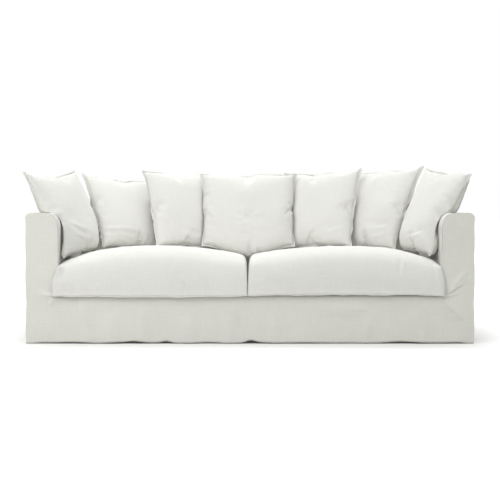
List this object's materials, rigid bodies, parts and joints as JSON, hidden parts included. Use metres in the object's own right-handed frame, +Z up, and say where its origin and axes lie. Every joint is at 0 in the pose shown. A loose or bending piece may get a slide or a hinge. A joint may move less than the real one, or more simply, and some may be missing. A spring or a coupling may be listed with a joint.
{
  "type": "fitted sofa slipcover set",
  "caption": "Loose-fitted linen slipcover of a wide low sofa, hollow and open to the floor, with filled seat cushions and loose back pillows in covers to match.",
  "frame": {"origin": "on the floor under the middle of the cover's box", "axes": "+Z up, +X towards the right arm as seen from the front, front faces -Y"},
  "size_m": [2.384, 1.0263, 0.9414],
  "materials": {
    "cover_linen": "washed off-white linen, matt, finely slubbed",
    "cushion_linen": "washed off-white linen, matt, finely slubbed"
  },
  "bodies": {
    "root": {"front_panel": "cover_linen", "side_panel_left": "cover_linen", "side_panel_right": "cover_linen", "arm_panel_left": "cover_linen", "arm_panel_right": "cover_linen", "inside_back": "cover_linen", "outside_back": "cover_linen", "deck": "cover_linen", "seat_cushion_left": "cushion_linen", "seat_cushion_right": "cushion_linen", "pillow_1": "cushion_linen", "pillow_2": "cushion_linen", "pillow_3": "cushion_linen", "pillow_4": "cushion_linen", "pillow_5": "cushion_linen", "pillow_6": "cushion_linen", "pillow_7": "cushion_linen"}
  },
  "joints": []
}
